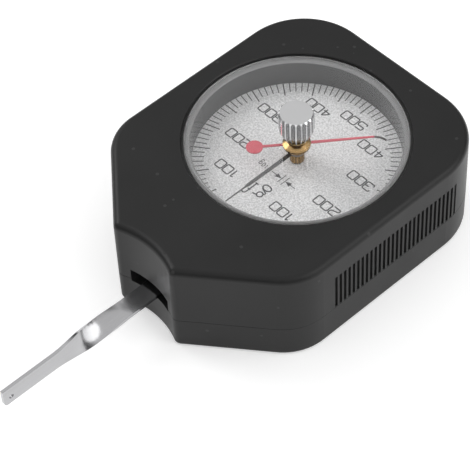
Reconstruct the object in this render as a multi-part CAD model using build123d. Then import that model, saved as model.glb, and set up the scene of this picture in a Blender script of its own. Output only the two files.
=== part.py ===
from build123d import *
import os
from math import asin, atan2, cos, degrees, pi, radians, sin, tan

# Dial force gauge. Millimetres. The origin is where the dial's axis meets the back face,
# +Z is out of the dial, and the sensing lever points to -Y.

# ---- Case: outline seen from above ----
CASE_WIDTH = 65.2
REAR_REACH = 34.2          # dial axis to the rear edge
SIDE_REACH = 29.5          # dial axis to where the straight sides meet the front slopes
NOSE_REACH = 48.6          # dial axis to the nose, before the scoop is cut
NOSE_WIDTH = 18.2
REAR_CORNER_R = 17.3
SHOULDER_R = 13.4
NOSE_CORNER_R = 1.8
SCOOP_R = 22.3             # hollow in the nose that frees the lever
SCOOP_DEPTH = 2.45

# ---- Case: heights and walls ----
CASE_HEIGHT = 26.75
BACK_DEPTH = 9.45          # back face to the seam
DRAFT = 0.3                # degrees, both shells
TOP_EDGE_R = 1.64
BACK_EDGE_R = 1.1
SEAM_CHAMFER = 0.2
WALL = 2.4
TOP_WALL = 2.4
FLOOR = 2.0
TONGUE_THICK = 1.0
TONGUE_HEIGHT = 1.2
TONGUE_GAP = 0.1

# ---- Grip flutes on both long sides ----
FLUTE_COUNT = 29
FLUTE_PITCH = 1.39
FLUTE_WIDTH = 0.8
FLUTE_DEPTH = 0.6
FLUTE_TOP = 20.0
FLUTE_CENTRE_Y = 0.3

# ---- Window stack ----
WELL_R = 27.0              # window opening in the case
WELL_CHAMFER = 0.2
SLEEVE_WALL = 1.6
LEDGE_R = 25.2             # opening of the ledge that carries the dial
LEDGE_THICK = 1.0
CRYSTAL_R = 26.35
CRYSTAL_THICK = 1.6
CRYSTAL_DROP = 0.05        # case top down to the crystal's top
CRYSTAL_BEVEL = 0.3
GASKET_HEIGHT = 0.9
DIAL_DROP = 8.75           # case top down to the dial face
DIAL_THICK = 0.8
DIAL_HOLE_R = 1.5
SPACER_R = 24.9            # inside of the spacer ring, the visible edge of the dial
SPACER_CHAMFER = 0.25

# ---- Lever ----
LEVER_WIDTH = 5.0
LEVER_THICK = 0.9
LEVER_Z = 10.3             # middle of the strip
LEVER_TIP = 90.2           # dial axis to the tip
LEVER_TAIL = 4.1           # strip behind its pivot
TWIST_START = 54.0
TWIST_END = 75.5
TWIST_SECTIONS = 13
TIP_CORNER_R = 1.0
EYE_R = 0.6
EYE_SETBACK = 2.1          # tip to the eye's centre
EYE_DROP = 0.5             # strip's middle down to the eye's centre
LEVER_SWING = 9.0          # degrees each way at full scale
SLOT_WIDTH = 12.8
SLOT_HEIGHT = 3.1          # above the seam
SLOT_RELIEF = 0.85         # below the seam

# ---- Movement frame ----
PLATE_THICK = 1.2
PLATE_LIFT = 1.6           # case floor up to the plate
BRIDGE_GAP = 9.8           # between plate and bridge
PLATE_MARGIN = 4.0
BRIDGE_MARGIN = 3.6
PILLAR_R = 2.4
BUSH_R = 1.8
PLATE_CORNERS = [(13.0, -35.0), (18.0, 13.0), (6.0, 25.0)]     # right half, mirrored
PLATE_SCREWS_AT = [(13.0, -35.0), (18.0, 13.0)]
PILLARS_AT = [(12.0, -29.5), (14.0, 8.0)]

# ---- Gear pair ----
MODULE = 0.25
PINION_LEAVES = 10
SECTOR_FULL_TEETH = 200    # on a whole wheel of the sector's size
SECTOR_TEETH = 16
SECTOR_Z = 6.8
SECTOR_THICK = 1.0
PINION_OVERHANG = 0.5      # pinion beyond each face of the sector
SECTOR_RIM = 2.8
SECTOR_SPOKE = 4.4
LEAF_WIDTH = 0.26
TOOTH_WIDTH = 0.34
TOOTH_TIP_WIDTH = 0.14
TOOTH_ADDENDUM = 0.26
LEAF_ADDENDUM = 0.2
ROOT_CLEARANCE = 0.14

# ---- Arbors ----
LEVER_ARBOR_R = 1.2
LEVER_PIVOT_R = 0.7
POINTER_ARBOR_R = 0.8
POINTER_PIVOT_R = 0.5
RUNNING_GAP = 0.04
SEAT_GAP = 0.02
OVERCUT = 1.0              # how far a cutter runs past the surface it opens
END_SHAKE = 0.1
LEVER_HUB_R = 4.2
LEVER_HUB_NECK_R = 2.6
LEVER_SCREW_OFFSET = 2.9

# ---- Load springs ----
SPRING_THICK = 0.95
SPRING_HEIGHT = 3.2
SPRING_Z = 8.6
DRIVE_PIN_R = 1.5
DRIVE_PIN_Y = -8.0
DRIVE_PIN_TOP = 12.0
REST_PIN_Y = 8.2
SPRING_OVERREACH = 1.6     # spring end beyond the drive pin's middle
BLOCK_Y = 19.5
BLOCK_LENGTH = 6.0
BLOCK_WIDTH = 9.2
BLOCK_HEIGHT = 7.6
STOP_PIN_R = 1.0
STOP_PIN_RADIUS = 18.0     # lever pivot to the stop pins
STOP_PIN_HEIGHT = 3.6
STOP_GAP = 0.15

# ---- Hairspring ----
HAIR_STEP = 0.45           # growth per half turn
HAIR_HALF_TURNS = 9
HAIR_THICK = 0.12
HAIR_HEIGHT = 0.8
HAIR_Z = 12.7
COLLET_R = 1.6
COLLET_HEIGHT = 1.4
STUD_R = 0.6

# ---- Load hand, the black one ----
HAND_THICK = 0.25
LOAD_HAND_Z = 21.3
LOAD_HAND_REACH = 22.7
LOAD_HAND_NECK = 15.6      # where the blade narrows to its needle
LOAD_HAND_NARROWING = 1.0
LOAD_HAND_WIDTH = 1.0
LOAD_HAND_MID_WIDTH = 0.8
LOAD_NEEDLE_WIDTH = 0.3
HUB_R = 1.75
HUB_FLUTES = 14
HUB_FLUTE_R = 0.22
HUB_LIFT = 0.3             # dial face up to the hub
COLLAR_R = 1.9
COLLAR_THICK = 0.4

# ---- Peak hand, the red one, and its knob ----
PEAK_HEADING = 52.0        # degrees from +X
PEAK_HAND_Z = 23.35
PEAK_HAND_THICK = 0.3
PEAK_HAND_WIDTH = 0.8
PEAK_END_WIDTH = 0.4
PEAK_TAIL_WIDTH = 0.6
PEAK_DISC_R = 2.0
PEAK_DISC_AT = 9.9
PEAK_BEND_AT = 17.6
PEAK_REACH = 21.0
PEAK_TIP_GAP = 0.25        # load hand up to the bent tip
PEAK_RING_R = 3.0
PEAK_NECK_R = 2.0
PEAK_WASHER_R = 3.35
PEAK_WASHER_THICK = 0.3
PEAK_BOWL_DEPTH = 1.25
PEAK_BOWL_R = 3.3
PEAK_BOWL_FOOT_R = 1.9
KNOB_R = 4.2
KNOB_HEIGHT = 7.7
KNOB_LIFT = 0.3            # crystal up to the knob
KNOB_TOP_BEVEL = 0.35
KNOB_FOOT_R = 3.2
KNOB_TAPER = 2.6           # height of the tapered foot
KNOB_FLUTES = 20
KNOB_FLUTE_R = 0.45
KNOB_FLUTE_DEPTH = 0.4
KNOB_BORE_DEPTH = 4.0
SHAFT_R = 1.0
BUSHING_R = 2.2
BUSHING_FLANGE_R = 3.0
BUSHING_FLANGE = 0.25
WASHER_R = 2.1
WASHER_THICK = 0.15

# ---- Fasteners ----
CASE_SCREWS_AT = [(22.5, 24.0), (22.0, -25.5)]                 # right half, mirrored
CASE_BOSS_R = 3.2
CASE_SCREW_R = 1.3
CASE_SCREW_HEAD_R = 2.2
CASE_SCREW_HEAD = 1.6
CASE_SCREW_SINK = 1.0      # back face up to the screw's head
CASE_SCREW_REACH = 8.0     # thread above the seam
BOSS_RIB = 1.2
SMALL_SCREW_R = 0.9
SMALL_HEAD_R = 1.6
SMALL_HEAD = 1.1
LEVER_HEAD_R = 1.1
LEVER_HEAD = 0.75

# ---- Heights and places that follow ----
PLATE_Z = FLOOR + PLATE_LIFT
PLATE_TOP = PLATE_Z + PLATE_THICK
BRIDGE_Z = PLATE_TOP + BRIDGE_GAP
BRIDGE_TOP = BRIDGE_Z + PLATE_THICK
DIAL_Z = CASE_HEIGHT - DIAL_DROP
DIAL_BACK = DIAL_Z - DIAL_THICK
CRYSTAL_TOP = CASE_HEIGHT - CRYSTAL_DROP
CRYSTAL_Z = CRYSTAL_TOP - CRYSTAL_THICK
SLEEVE_R = WELL_R + SLEEVE_WALL
SECTOR_R = MODULE * SECTOR_FULL_TEETH / 2
PINION_R = MODULE * PINION_LEAVES / 2
PIVOT_Y = -(SECTOR_R + PINION_R)
SECTOR_TOP = SECTOR_Z + SECTOR_THICK
SECTOR_ROOT_R = SECTOR_R - LEAF_ADDENDUM - ROOT_CLEARANCE
PINION_ROOT_R = PINION_R - TOOTH_ADDENDUM - ROOT_CLEARANCE
TOOTH_STEP = 360 / SECTOR_FULL_TEETH
SECTOR_HALF_ANGLE = (SECTOR_TEETH / 2 + 0.3) * TOOTH_STEP
STRIP_BOTTOM = LEVER_Z - LEVER_THICK / 2
STRIP_TOP = LEVER_Z + LEVER_THICK / 2
SPRING_FACE = DRIVE_PIN_R + SEAT_GAP                           # inner face of each load spring
HAIR_INNER_R = COLLET_R + SEAT_GAP + HAIR_THICK / 2
HAND_TOP = LOAD_HAND_Z + HAND_THICK
KNOB_Z = CRYSTAL_TOP + KNOB_LIFT
PEAK_HUB_Z = PEAK_HAND_Z - PEAK_BOWL_DEPTH
PEAK_HAND_TOP = PEAK_HAND_Z + PEAK_HAND_THICK
BOTTOM = (Align.CENTER, Align.CENTER, Align.MIN)


# ---- Shared helpers ----
def rod(radius, low, high, at=(0, 0)):
    """Upright cylinder between two heights."""
    return Pos(at[0], at[1], low) * Cylinder(radius, high - low, align=BOTTOM)


def bore(radius, low, high, at=(0, 0)):
    """Cutter for a round hole that is open at both heights."""
    return rod(radius, low - OVERCUT, high + OVERCUT, at)


def ring(outer, inner, low, high, at=(0, 0)):
    """Upright tube between two heights."""
    return rod(outer, low, high, at) - bore(inner, low, high, at)


def block(x, y, z):
    """Box from three (low, high) pairs."""
    size = [high - low for low, high in (x, y, z)]
    middle = [(high + low) / 2 for low, high in (x, y, z)]
    return Pos(*middle) * Box(*size)


def slab(face, low, high, taper=0):
    """Flat shape raised between two heights."""
    return extrude(Pos(0, 0, low) * face, amount=high - low, taper=taper)


def polygon(points):
    return make_face(Polyline(*points, close=True))


def turned(points):
    """Solid of revolution about Z from (radius, height) corners."""
    profile = make_face(Polyline(*[(r, 0, z) for r, z in points], close=True))
    return revolve(profile, Axis.Z)


def both_sides(points):
    return [(side * x, y) for x, y in points for side in (1, -1)]


def mirrored_outline(points, margin):
    """Plate outline through right-hand points and their mirror images, with round corners."""
    left = [(-x, y) for x, y in reversed(points)]
    return offset(polygon(list(points) + left), amount=margin)


def screw(at, seat, tip, head_r, head_height, shank_r):
    """Cross-head screw: the head lies on the seat, on the side away from the tip."""
    up = 1 if seat > tip else -1
    crown = seat + up * head_height
    body = rod(head_r, min(seat, crown), max(seat, crown), at)
    body += rod(shank_r, min(seat, tip), max(seat, tip), at)
    length, width, depth = 1.3 * head_r, 0.35 * head_r, head_height
    for size in ((length, width), (width, length)):
        body -= Pos(at[0], at[1], crown) * Box(size[0], size[1], depth)
    return body


def group(solids):
    """Separate solids that share one node."""
    return Compound(children=[s if isinstance(s, Solid) else s.solid() for s in solids])


# ---- Case ----
def case_outline(inset=0.0):
    """Outline of the case, moved inwards by inset."""
    slope = atan2(NOSE_REACH - SIDE_REACH, (CASE_WIDTH - NOSE_WIDTH) / 2)
    half = CASE_WIDTH / 2 - inset
    side_y = -SIDE_REACH + inset * tan((pi / 2 - slope) / 2)
    nose_x = NOSE_WIDTH / 2 - inset * tan(slope / 2)
    right = [(nose_x, -NOSE_REACH + inset), (half, side_y), (half, REAR_REACH - inset)]
    plan = polygon(right + [(-x, y) for x, y in reversed(right)])
    plan = fillet(plan.vertices().filter_by(lambda v: v.Y > 0), REAR_CORNER_R - inset)
    plan = fillet(plan.vertices().sort_by(Axis.Y)[2:4], SHOULDER_R - inset)
    scoop_y = -NOSE_REACH + SCOOP_DEPTH - SCOOP_R
    plan -= Pos(0, scoop_y) * Circle(SCOOP_R + inset)
    if inset < NOSE_CORNER_R:
        tips = plan.vertices().sort_by(Axis.Y)[:2]
        plan = fillet(tips, NOSE_CORNER_R - inset)
    return plan


def front_case():
    shell = slab(case_outline(), BACK_DEPTH, CASE_HEIGHT, DRAFT)
    shell = fillet(shell.faces().sort_by(Axis.Z)[-1].edges(), TOP_EDGE_R)
    ceiling = CASE_HEIGHT - TOP_WALL
    shell -= slab(case_outline(WALL), BACK_DEPTH, ceiling)
    rebate = WALL - TONGUE_THICK - TONGUE_GAP
    shell -= slab(case_outline(rebate), BACK_DEPTH, BACK_DEPTH + TONGUE_HEIGHT + TONGUE_GAP)
    shell += rod(SLEEVE_R, DIAL_BACK - LEDGE_THICK, ceiling)
    for x, y in both_sides(CASE_SCREWS_AT):
        shell += rod(CASE_BOSS_R, BACK_DEPTH, ceiling, (x, y))
    shell -= rod(WELL_R, DIAL_BACK, CASE_HEIGHT + OVERCUT)
    shell -= rod(LEDGE_R, BACK_DEPTH, DIAL_BACK)
    shell -= Pos(0, 0, CASE_HEIGHT - WELL_CHAMFER) * Cone(
        WELL_R, WELL_R + 2 * WELL_CHAMFER, 2 * WELL_CHAMFER, align=BOTTOM)
    for at in both_sides(CASE_SCREWS_AT):
        shell -= bore(CASE_SCREW_R + SEAT_GAP, BACK_DEPTH, BACK_DEPTH + CASE_SCREW_REACH, at)
    shell -= flutes()
    shell -= lever_slot(BACK_DEPTH - OVERCUT, BACK_DEPTH + SLOT_HEIGHT)
    return shell


def flutes():
    """Cutters for the grip flutes, which run up from the seam."""
    first = FLUTE_CENTRE_Y - FLUTE_PITCH * (FLUTE_COUNT - 1) / 2
    cutters = []
    for side in (1, -1):
        for i in range(FLUTE_COUNT):
            y = first + i * FLUTE_PITCH
            x = sorted([side * (CASE_WIDTH / 2 - FLUTE_DEPTH), side * (CASE_WIDTH / 2 + OVERCUT)])
            cutters.append(block(x, (y - FLUTE_WIDTH / 2, y + FLUTE_WIDTH / 2),
                                 (BACK_DEPTH - OVERCUT, FLUTE_TOP)))
    return cutters


def lever_slot(low, high):
    """Cutter for the lever's way out through the nose."""
    deepest = -NOSE_REACH + SCOOP_DEPTH + 2 * WALL
    return block((-SLOT_WIDTH / 2, SLOT_WIDTH / 2), (-NOSE_REACH - OVERCUT, deepest), (low, high))


def back_cover():
    shell = slab(case_outline(), 0, BACK_DEPTH, DRAFT)
    shell = fillet(shell.faces().sort_by(Axis.Z)[-1].edges(), BACK_EDGE_R)
    shell = Pos(0, 0, BACK_DEPTH) * mirror(shell, about=Plane.XY)
    shell = chamfer(shell.faces().sort_by(Axis.Z)[-1].edges(), SEAM_CHAMFER)
    tongue_top = BACK_DEPTH + TONGUE_HEIGHT
    shell += slab(case_outline(WALL - TONGUE_THICK), FLOOR, tongue_top)
    shell -= slab(case_outline(WALL), FLOOR, tongue_top + OVERCUT)
    seat = CASE_SCREW_SINK + CASE_SCREW_HEAD
    for at in both_sides(CASE_SCREWS_AT):
        shell += rod(CASE_BOSS_R, FLOOR / 2, BACK_DEPTH, at)
        shell -= rod(CASE_SCREW_HEAD_R + TONGUE_GAP, -OVERCUT, seat, at)
        shell -= bore(CASE_SCREW_R + TONGUE_GAP, seat, BACK_DEPTH, at)
    for at in both_sides(PLATE_SCREWS_AT):
        shell += rod(PILLAR_R, FLOOR / 2, PLATE_Z, at)
        shell -= rod(SMALL_SCREW_R + SEAT_GAP, FLOOR / 2 + SEAT_GAP, PLATE_Z + OVERCUT, at)
    shell -= lever_slot(BACK_DEPTH - SLOT_RELIEF, tongue_top + OVERCUT)
    return shell


def case_screws():
    seat = CASE_SCREW_SINK + CASE_SCREW_HEAD
    return group(screw(at, seat, BACK_DEPTH + CASE_SCREW_REACH, CASE_SCREW_HEAD_R,
                       CASE_SCREW_HEAD, CASE_SCREW_R) for at in both_sides(CASE_SCREWS_AT))


# ---- Window and dial ----
def window_crystal():
    crystal = rod(CRYSTAL_R, CRYSTAL_Z, CRYSTAL_TOP)
    crystal = chamfer(crystal.edges().sort_by(Axis.Z)[-1], CRYSTAL_BEVEL)
    return crystal - bore(BUSHING_R + SEAT_GAP, CRYSTAL_Z, CRYSTAL_TOP)


def window_gasket():
    return ring(WELL_R - SEAT_GAP, CRYSTAL_R + SEAT_GAP, CRYSTAL_Z, CRYSTAL_Z + GASKET_HEIGHT)


def dial_spacer_ring():
    spacer = ring(WELL_R - SEAT_GAP, SPACER_R, DIAL_Z, CRYSTAL_Z - SEAT_GAP)
    inner_top = spacer.faces().sort_by(Axis.Z)[-1].edges().sort_by(SortBy.RADIUS)[0]
    return chamfer(inner_top, SPACER_CHAMFER)


def dial_plate():
    return ring(WELL_R - SEAT_GAP, DIAL_HOLE_R, DIAL_BACK, DIAL_Z)


# ---- Movement frame ----
def movement_plate():
    plate = slab(mirrored_outline(PLATE_CORNERS, PLATE_MARGIN), PLATE_Z, PLATE_TOP)
    for at in ((0, 0), (0, PIVOT_Y)):
        plate -= bore(BUSH_R + SEAT_GAP, PLATE_Z, PLATE_TOP, at)
    for at in both_sides(PLATE_SCREWS_AT) + block_screw_points():
        plate -= bore(SMALL_SCREW_R + SEAT_GAP, PLATE_Z, PLATE_TOP, at)
    return plate


def movement_bridge():
    bridge = slab(mirrored_outline(PILLARS_AT, BRIDGE_MARGIN), BRIDGE_Z, BRIDGE_TOP)
    for at in ((0, 0), (0, PIVOT_Y)):
        bridge -= bore(BUSH_R + SEAT_GAP, BRIDGE_Z, BRIDGE_TOP, at)
    for at in both_sides(PILLARS_AT):
        bridge -= bore(SMALL_SCREW_R + SEAT_GAP, BRIDGE_Z, BRIDGE_TOP, at)
    return bridge


def bridge_pillars():
    thread = BRIDGE_Z - 4 * SMALL_SCREW_R
    return group(rod(PILLAR_R, PLATE_TOP, BRIDGE_Z, at)
                 - rod(SMALL_SCREW_R + SEAT_GAP, thread - SEAT_GAP, BRIDGE_Z + OVERCUT, at)
                 for at in both_sides(PILLARS_AT))


def bridge_screws():
    thread = BRIDGE_Z - 4 * SMALL_SCREW_R
    return group(screw(at, BRIDGE_TOP, thread, SMALL_HEAD_R, SMALL_HEAD, SMALL_SCREW_R)
                 for at in both_sides(PILLARS_AT))


def plate_screws():
    return group(screw(at, PLATE_TOP, FLOOR / 2 + 2 * SEAT_GAP, SMALL_HEAD_R, SMALL_HEAD,
                       SMALL_SCREW_R) for at in both_sides(PLATE_SCREWS_AT))


def pivot_bushes(at, lower_bore, upper_bore):
    """Bushes of one arbor, one in the plate and one in the bridge."""
    lower = ring(BUSH_R, lower_bore, PLATE_Z, PLATE_TOP, at)
    upper = ring(BUSH_R, upper_bore, BRIDGE_Z, BRIDGE_TOP, at)
    return group([lower, upper])


def lever_bushes():
    bore = LEVER_PIVOT_R + RUNNING_GAP
    return pivot_bushes((0, PIVOT_Y), bore, bore)


def pointer_bushes():
    return pivot_bushes((0, 0), POINTER_PIVOT_R + RUNNING_GAP, POINTER_ARBOR_R + RUNNING_GAP)


# ---- Load springs ----
def load_springs():
    """Two leaf springs with the drive pin and the rest pin between their free ends."""
    leaves = []
    for side in (1, -1):
        faces = sorted([side * SPRING_FACE, side * (SPRING_FACE + SPRING_THICK)])
        leaves.append(block(faces, (DRIVE_PIN_Y - SPRING_OVERREACH, BLOCK_Y + BLOCK_LENGTH),
                            (SPRING_Z, SPRING_Z + SPRING_HEIGHT)))
    return group(leaves)


def spring_block():
    body = block((-BLOCK_WIDTH / 2, BLOCK_WIDTH / 2), (BLOCK_Y, BLOCK_Y + BLOCK_LENGTH),
                 (PLATE_TOP, PLATE_TOP + BLOCK_HEIGHT))
    for side in (1, -1):
        slot = sorted([side * (SPRING_FACE - SEAT_GAP),
                       side * (SPRING_FACE + SPRING_THICK + SEAT_GAP)])
        body -= block(slot, (BLOCK_Y - OVERCUT, BLOCK_Y + BLOCK_LENGTH + OVERCUT),
                      (SPRING_Z, PLATE_TOP + BLOCK_HEIGHT + OVERCUT))
    for at in block_screw_points():
        body -= rod(SMALL_SCREW_R + SEAT_GAP, PLATE_TOP - OVERCUT, SPRING_Z - SMALL_SCREW_R, at)
    return body


def block_screw_points():
    middle = BLOCK_Y + BLOCK_LENGTH / 2
    return [(0, middle - SMALL_HEAD_R - SEAT_GAP), (0, middle + SMALL_HEAD_R + SEAT_GAP)]


def spring_block_screws():
    tip = SPRING_Z - SMALL_SCREW_R - SEAT_GAP
    return group(screw(at, PLATE_Z, tip, SMALL_HEAD_R, SMALL_HEAD, SMALL_SCREW_R)
                 for at in block_screw_points())


def spring_rest_pin():
    return rod(DRIVE_PIN_R, PLATE_TOP, SPRING_Z + SPRING_HEIGHT, (0, REST_PIN_Y))


def stop_pins():
    """Pins that the sector's edges reach just past full scale."""
    reach = degrees((STOP_PIN_R + STOP_GAP) / STOP_PIN_RADIUS)
    angle = radians(SECTOR_HALF_ANGLE + LEVER_SWING + reach)
    x = STOP_PIN_RADIUS * sin(angle)
    y = PIVOT_Y + STOP_PIN_RADIUS * cos(angle)
    return group(rod(STOP_PIN_R, PLATE_TOP, PLATE_TOP + STOP_PIN_HEIGHT, (side * x, y))
                 for side in (1, -1))


# ---- Lever and sector ----
def strip_section(y, turn):
    """The strip's cross-section; at 90 degrees the left edge has risen to the top."""
    edge = (cos(radians(turn)), 0, -sin(radians(turn)))
    plane = Plane(origin=(0, y, LEVER_Z), x_dir=edge, z_dir=(0, -1, 0))
    return plane * Rectangle(LEVER_WIDTH, LEVER_THICK)


def lever_arm():
    """Flat steel strip, twisted a quarter turn in front of the case."""
    half = LEVER_WIDTH / 2
    arm = block((-half, half), (-TWIST_START, PIVOT_Y), (STRIP_BOTTOM, STRIP_TOP))
    arm += slab(Pos(0, PIVOT_Y) * Rectangle(LEVER_WIDTH, 2 * LEVER_TAIL), STRIP_BOTTOM, STRIP_TOP)
    step = (TWIST_END - TWIST_START) / (TWIST_SECTIONS - 1)
    sections = []
    for i in range(TWIST_SECTIONS):
        share = i / (TWIST_SECTIONS - 1)
        turn = 90 * share * share * (3 - 2 * share)
        sections.append(strip_section(-TWIST_START - i * step, turn))
    arm += loft(sections)
    blade = block((-LEVER_THICK / 2, LEVER_THICK / 2), (-LEVER_TIP, -TWIST_END),
                  (LEVER_Z - half, LEVER_Z + half))
    corner = blade.edges().filter_by(Axis.X).sort_by(Axis.Y)[:2].sort_by(Axis.Z)[0]
    arm += fillet(corner, TIP_CORNER_R)
    arm -= Pos(0, -LEVER_TIP + EYE_SETBACK, LEVER_Z - EYE_DROP) * Rot(0, 90, 0) * Cylinder(
        EYE_R, LEVER_WIDTH)
    arm -= bore(LEVER_ARBOR_R + SEAT_GAP, STRIP_BOTTOM, STRIP_TOP, (0, PIVOT_Y))
    for at in lever_screw_points():
        arm -= bore(SMALL_SCREW_R + SEAT_GAP, STRIP_BOTTOM, STRIP_TOP, at)
    return arm


def lever_screw_points():
    return [(0, PIVOT_Y - LEVER_SCREW_OFFSET), (0, PIVOT_Y + LEVER_SCREW_OFFSET)]


def lever_hub():
    """Brass boss that carries the strip on top and the sector on its neck."""
    hub = rod(LEVER_HUB_R, SECTOR_TOP, STRIP_BOTTOM, (0, PIVOT_Y))
    hub += rod(LEVER_HUB_NECK_R, SECTOR_Z, SECTOR_TOP, (0, PIVOT_Y))
    hub -= bore(LEVER_ARBOR_R + SEAT_GAP, SECTOR_Z, STRIP_BOTTOM, (0, PIVOT_Y))
    for at in lever_screw_points():
        hub -= rod(SMALL_SCREW_R + SEAT_GAP, SECTOR_TOP + SEAT_GAP, STRIP_BOTTOM + OVERCUT, at)
    return hub


def lever_screws():
    return group(screw(at, STRIP_TOP, SECTOR_TOP + 2 * SEAT_GAP, LEVER_HEAD_R, LEVER_HEAD,
                       SMALL_SCREW_R) for at in lever_screw_points())


def lever_arbor():
    at = (0, PIVOT_Y)
    arbor = rod(LEVER_ARBOR_R, PLATE_TOP + END_SHAKE, BRIDGE_Z - END_SHAKE, at)
    return arbor + rod(LEVER_PIVOT_R, PLATE_Z + END_SHAKE, BRIDGE_TOP - END_SHAKE, at)


def tooth(root_r, root_w, pitch_r, pitch_w, tip_r, tip_w):
    """Tooth outline that points along +Y, from below its root to its tip."""
    right = [(root_w / 2, root_r), (pitch_w / 2, pitch_r), (tip_w / 2, tip_r)]
    return polygon(right + [(-x, y) for x, y in reversed(right)])


def sector_gear():
    """Toothed sector about the lever's pivot, facing the pinion along +Y at rest."""
    far = 2 * SECTOR_R
    half_wedge = far * tan(radians(SECTOR_HALF_ANGLE))
    wedge = polygon([(0, 0), (half_wedge, far), (-half_wedge, far)])
    blank = Circle(SECTOR_ROOT_R) & wedge
    inner = far * tan(radians(SECTOR_HALF_ANGLE - degrees(SECTOR_RIM / SECTOR_R) / 2))
    windows = Circle(SECTOR_ROOT_R - SECTOR_RIM) - Circle(2 * LEVER_HUB_R)
    windows &= polygon([(0, 0), (inner, far), (-inner, far)])
    windows -= Rectangle(SECTOR_SPOKE, 2 * far)
    blank -= windows
    blank += Circle(LEVER_HUB_R)
    profile = tooth(SECTOR_ROOT_R - ROOT_CLEARANCE, TOOTH_WIDTH, SECTOR_R, TOOTH_WIDTH,
                    SECTOR_R + TOOTH_ADDENDUM, TOOTH_TIP_WIDTH)
    for i in range(SECTOR_TEETH):
        blank += Rot(0, 0, (i - (SECTOR_TEETH - 1) / 2) * TOOTH_STEP) * profile
    blank -= Circle(LEVER_HUB_NECK_R + SEAT_GAP)
    pin_seat = Pos(0, DRIVE_PIN_Y - PIVOT_Y) * Circle(DRIVE_PIN_R / 2 + SEAT_GAP)
    return Pos(0, PIVOT_Y, 0) * slab(blank - pin_seat, SECTOR_Z, SECTOR_TOP)


def spring_drive_pin():
    """Shouldered pin, riveted into the sector, that pushes one load spring or the other."""
    at = (0, DRIVE_PIN_Y)
    return rod(DRIVE_PIN_R, SECTOR_TOP, DRIVE_PIN_TOP, at) + rod(
        DRIVE_PIN_R / 2, SECTOR_Z, SECTOR_TOP, at)


# ---- Pointer train ----
def pinion_arbor():
    """Arbor with its pinion leaves cut from the solid."""
    arbor = rod(POINTER_PIVOT_R, PLATE_Z + END_SHAKE, PLATE_TOP + END_SHAKE)
    arbor += rod(PINION_ROOT_R, PLATE_TOP + END_SHAKE, BRIDGE_Z - END_SHAKE)
    arbor += rod(POINTER_ARBOR_R, BRIDGE_Z - END_SHAKE, HAND_TOP + HAND_THICK)
    leaf = tooth(0, LEAF_WIDTH, PINION_R, LEAF_WIDTH, PINION_R + LEAF_ADDENDUM, LEAF_WIDTH / 2)
    low, high = SECTOR_Z - PINION_OVERHANG, SECTOR_TOP + PINION_OVERHANG
    for i in range(PINION_LEAVES):
        arbor += slab(Rot(0, 0, 180 + i * 360 / PINION_LEAVES) * leaf, low, high)
    return arbor


def hairspring_collet():
    low = HAIR_Z - (COLLET_HEIGHT - HAIR_HEIGHT) / 2
    return ring(COLLET_R, PINION_ROOT_R + SEAT_GAP, low, low + COLLET_HEIGHT)


def hairspring():
    """Flat spiral of half turns, back and front ones about centres one step apart."""
    spiral = []
    for i in range(HAIR_HALF_TURNS):
        radius = HAIR_INNER_R + i * HAIR_STEP
        side = 1 if i % 2 == 0 else -1
        turn = Circle(radius + HAIR_THICK / 2) - Circle(radius - HAIR_THICK / 2)
        turn &= Pos(0, side * radius) * Rectangle(4 * radius, 2 * radius)
        spiral.append(Pos((1 - side) * HAIR_STEP / 2, 0) * turn)
    return slab(spiral[0] + spiral[1:], HAIR_Z, HAIR_Z + HAIR_HEIGHT)


def hairspring_stud():
    reach = HAIR_INNER_R + (HAIR_HALF_TURNS - 1) * HAIR_STEP
    return rod(STUD_R, HAIR_Z, BRIDGE_Z, (-reach - HAIR_THICK / 2 - STUD_R - SEAT_GAP, 0))


def fluted(radius, count, flute_r, depth, low, high):
    """Cutters for upright flutes round a knob or hub."""
    cutter = bore(flute_r, low, high, (radius + flute_r - depth, 0))
    return [Rot(0, 0, i * 360 / count) * cutter for i in range(count)]


def pointer_hub():
    low, high = DIAL_Z + HUB_LIFT, LOAD_HAND_Z - COLLAR_THICK
    hub = ring(HUB_R, POINTER_ARBOR_R + SEAT_GAP, low, high)
    return hub - fluted(HUB_R, HUB_FLUTES, HUB_FLUTE_R, HUB_FLUTE_R * 0.8, low, high)


def pointer_collar():
    return ring(COLLAR_R, POINTER_ARBOR_R + SEAT_GAP, LOAD_HAND_Z - COLLAR_THICK, LOAD_HAND_Z)


def load_hand():
    """Black hand: a straight blade that narrows to a needle, pointing at zero."""
    right = [(LOAD_HAND_WIDTH / 2, 0), (LOAD_HAND_MID_WIDTH / 2, LOAD_HAND_NECK),
             (LOAD_NEEDLE_WIDTH / 2, LOAD_HAND_NECK + LOAD_HAND_NARROWING),
             (LOAD_NEEDLE_WIDTH / 3, LOAD_HAND_REACH)]
    blade = polygon(right + [(-x, y) for x, y in reversed(right)])
    blade += Circle(COLLAR_R)
    blade -= Circle(POINTER_ARBOR_R + SEAT_GAP)
    return slab(Rot(0, 0, 180) * blade, LOAD_HAND_Z, HAND_TOP)


# ---- Peak hand and its reset knob ----
def peak_hand():
    """Red hand with a disc on its tail and a tip that bends down towards the dial."""
    half, end = PEAK_HAND_WIDTH / 2, PEAK_END_WIDTH / 2
    blade = polygon([(0, half), (PEAK_BEND_AT, end), (PEAK_BEND_AT, -end), (0, -half)])
    tail = PEAK_TAIL_WIDTH / 2
    blade += polygon([(0, tail), (0, -tail), (-PEAK_DISC_AT, -tail), (-PEAK_DISC_AT, tail)])
    blade += Pos(-PEAK_DISC_AT, 0) * Circle(PEAK_DISC_R)
    blade += Circle(PEAK_RING_R)
    blade -= Circle(PEAK_NECK_R + SEAT_GAP)
    hand = slab(blade, PEAK_HAND_Z, PEAK_HAND_TOP)
    return Rot(0, 0, PEAK_HEADING) * (hand + bent_tip())


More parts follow.
